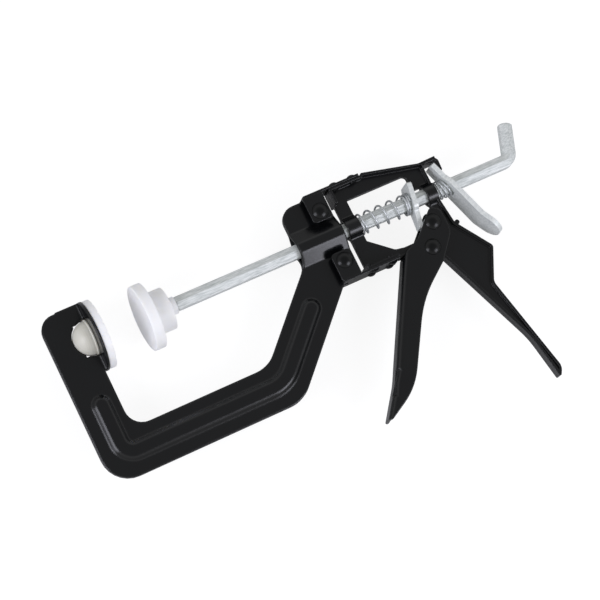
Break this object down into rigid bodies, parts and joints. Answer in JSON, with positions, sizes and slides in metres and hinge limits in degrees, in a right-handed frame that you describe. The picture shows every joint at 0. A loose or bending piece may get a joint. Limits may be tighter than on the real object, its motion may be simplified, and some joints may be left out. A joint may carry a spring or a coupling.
{
  "type": "trigger clamp",
  "caption": "One-handed trigger clamp: deep pressed C-frame, hexagonal push rod with a hooked end, swivel pad, drive plate, release lever and two visible springs.",
  "frame": {"origin": "where the push rod's axis meets the face of the fixed pad", "axes": "+X along the rod from the fixed jaw to the hook, +Y from the lower beam up to the rod, +Z square to the frame sheets"},
  "size_m": [0.3103, 0.1588, 0.042],
  "materials": {
    "black_paint": "gloss",
    "black_trigger": "gloss",
    "black_rivet": "gloss",
    "zinc_rod": "bright zinc plate",
    "plated_steel": "satin zinc plate",
    "spring_wire": "bright",
    "bare_steel": "satin",
    "pad_plastic": "satin",
    "ivory_plastic": "satin"
  },
  "bodies": {
    "frame": {"c_frame_near": "black_paint", "c_frame_far": "black_paint", "fixed_pad": "pad_plastic", "fixed_pad_plug": "ivory_plastic", "upper_bracket": "black_paint", "lower_bracket": "black_paint", "upper_frame_rivet": "black_rivet", "lower_frame_rivet": "black_rivet", "frame_rivet_spacers": "black_rivet", "upper_strap_rivets": "black_rivet", "lower_strap_rivets": "black_rivet", "body_near": "black_paint", "body_far": "black_paint", "pivot_bush": "bare_steel", "main_spring": "spring_wire", "release_spring": "spring_wire"},
    "rod": {"push_rod": "zinc_rod"},
    "ball": {"swivel_ball": "pad_plastic"},
    "pad": {"moving_pad": "pad_plastic", "moving_pad_hub": "pad_plastic"},
    "plate": {"drive_plate": "plated_steel"},
    "trigger": {"trigger": "black_trigger", "trigger_pivot_rivet": "black_rivet", "pusher_rivet": "black_rivet", "pusher_sleeve": "bare_steel"},
    "lever": {"release_lever": "plated_steel"}
  },
  "joints": [
    {"name": "rod_slide", "type": "slide", "parent": "frame", "child": "rod", "axis": [1, 0, 0], "range_m": [-0.0217, 0.078]},
    {"name": "pad_spin", "type": "hinge", "parent": "rod", "child": "ball", "pos_m": [0.0355, 0, 0], "axis": [1, 0, 0], "continuous": true},
    {"name": "pad_swivel", "type": "hinge", "parent": "ball", "child": "pad", "pos_m": [0.0355, 0, 0], "axis": [0, 0, 1], "range_deg": [-6, 6]},
    {"name": "trigger_pivot", "type": "hinge", "parent": "frame", "child": "trigger", "pos_m": [0.1973, -0.0307, 0], "axis": [0, 0, 1], "range_deg": [0, 32], "stiffness_Nm_per_rad": 0.8, "springref_deg": -22.92},
    {"name": "plate_slide", "type": "slide", "parent": "frame", "child": "plate", "axis": [1, 0, 0], "range_m": [-0.0087, 0], "deforming": ["main_spring"]},
    {"name": "lever_pivot", "type": "hinge", "parent": "frame", "child": "lever", "pos_m": [0.2224, 0.0148, 0], "axis": [0, 0, 1], "range_deg": [-6, 0], "stiffness_Nm_per_rad": 0.6, "springref_deg": 11.46, "deforming": ["release_spring"]}
  ],
  "couplings": [
    {"joint": "plate_slide", "follows": "trigger_pivot", "m_per_rad": -0.0154}
  ]
}
